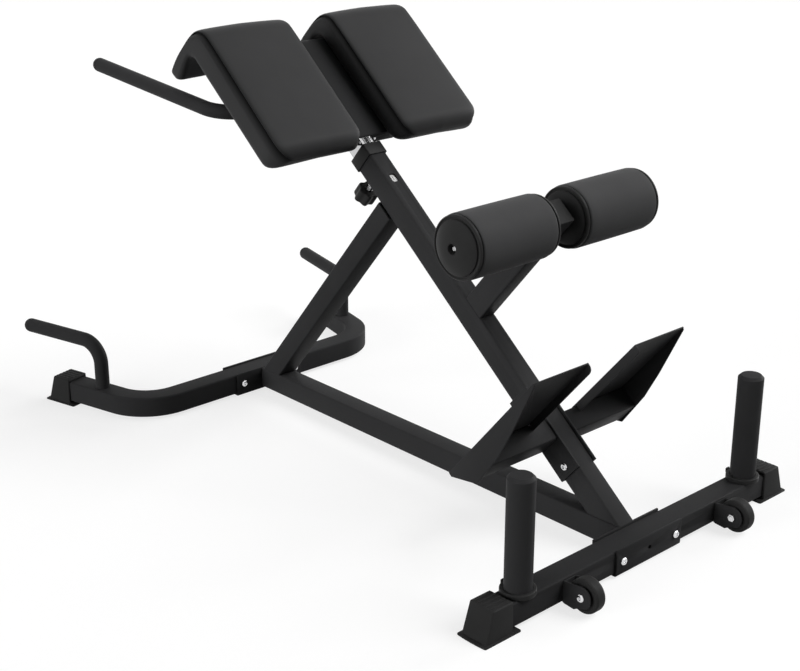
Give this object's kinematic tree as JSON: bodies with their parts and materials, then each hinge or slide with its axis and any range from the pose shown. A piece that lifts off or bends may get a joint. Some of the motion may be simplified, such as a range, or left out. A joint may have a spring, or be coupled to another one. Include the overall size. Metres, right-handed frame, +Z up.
{
  "type": "hyperextension bench",
  "caption": "Slanted back-extension bench with curled hip pads, foam ankle rollers, foot plates, weight horns, push-up handles and transport wheels.",
  "frame": {"origin": "middle of the footprint, on the floor", "axes": "+Z up, +X towards the foot end with the wheels, +Y to the user's right"},
  "size_m": [1.5526, 0.853, 0.8682],
  "materials": {
    "powder_coat": "satin charcoal powder coat with a fine orange-peel texture",
    "vinyl": "smooth black upholstery vinyl with a fine grain",
    "foam": "matt closed-cell foam",
    "black_plastic": "satin moulded plastic",
    "black_rubber": "matt moulded rubber",
    "chrome": "bright chrome plate",
    "zinc_steel": "bright zinc plate",
    "label_white": "white printed strip"
  },
  "bodies": {
    "frame": {"base_beam": "powder_coat", "foot_stabilizer": "powder_coat", "rear_stabilizer": "powder_coat", "front_bracket": "powder_coat", "rear_bracket": "powder_coat", "main_post": "powder_coat", "rear_strut": "powder_coat", "post_collar": "black_plastic", "pin_barrel": "chrome", "roller_arm": "powder_coat", "roller_arm_plug": "black_plastic", "roller_axle": "zinc_steel", "footrest_bracket": "powder_coat", "footrest_bolt": "zinc_steel", "foot_cap_left": "black_rubber", "foot_cap_right": "black_rubber", "rear_cap_left": "black_rubber", "rear_cap_right": "black_rubber", "front_bracket_bolt_left": "zinc_steel", "front_bracket_bolt_right": "zinc_steel", "rear_bracket_bolt_left": "zinc_steel", "rear_bracket_bolt_right": "zinc_steel", "axle_screw_left": "zinc_steel", "axle_screw_right": "zinc_steel", "footrest_crossmember_left": "powder_coat", "footrest_crossmember_right": "powder_coat", "foot_plate_left": "powder_coat", "foot_plate_right": "powder_coat", "weight_horn_left": "powder_coat", "weight_horn_right": "powder_coat", "horn_collar_left": "black_plastic", "horn_collar_right": "black_plastic", "horn_tab_left": "black_plastic", "horn_tab_right": "black_plastic", "wheel_fork_left": "powder_coat", "wheel_fork_right": "powder_coat", "wheel_bolt_left": "zinc_steel", "wheel_bolt_right": "zinc_steel", "pushup_handle_left": "powder_coat", "pushup_handle_right": "powder_coat"},
    "pad_carriage": {"pad_post": "chrome", "position_label": "label_white", "pad_plate": "powder_coat", "handle_bar": "powder_coat", "plate_screw_left": "zinc_steel", "plate_screw_right": "zinc_steel", "hip_pad_left": "vinyl", "hip_pad_right": "vinyl"},
    "pop_pin": {"pin_plunger": "chrome", "pin_knob": "black_plastic"},
    "roller_left": {"foam_roller_left": "foam", "roller_cap_outer_left": "black_plastic", "roller_cap_inner_left": "black_plastic"},
    "wheel_left_body": {"wheel_left": "black_rubber"},
    "roller_right": {"foam_roller_right": "foam", "roller_cap_outer_right": "black_plastic", "roller_cap_inner_right": "black_plastic"},
    "wheel_right_body": {"wheel_right": "black_rubber"}
  },
  "joints": [
    {"name": "height_slide", "type": "slide", "parent": "frame", "child": "pad_carriage", "axis": [-0.766, 0, 0.6428], "range_m": [0, 0.2]},
    {"name": "pop_pin_slide", "type": "slide", "parent": "frame", "child": "pop_pin", "axis": [-0.6428, 0, -0.766], "range_m": [-0.009, 0.004]},
    {"name": "roller_spin_left", "type": "hinge", "parent": "frame", "child": "roller_left", "pos_m": [0.44285, -0.13585, 0.58065], "axis": [0, 1, 0], "continuous": true},
    {"name": "roller_spin_right", "type": "hinge", "parent": "frame", "child": "roller_right", "pos_m": [0.44285, 0.13585, 0.58065], "axis": [0, 1, 0], "continuous": true},
    {"name": "wheel_spin_left", "type": "hinge", "parent": "frame", "child": "wheel_left_body", "pos_m": [0.74427, -0.2136, 0.0339], "axis": [0, 1, 0], "continuous": true},
    {"name": "wheel_spin_right", "type": "hinge", "parent": "frame", "child": "wheel_right_body", "pos_m": [0.74427, 0.2136, 0.0339], "axis": [0, 1, 0], "continuous": true}
  ]
}
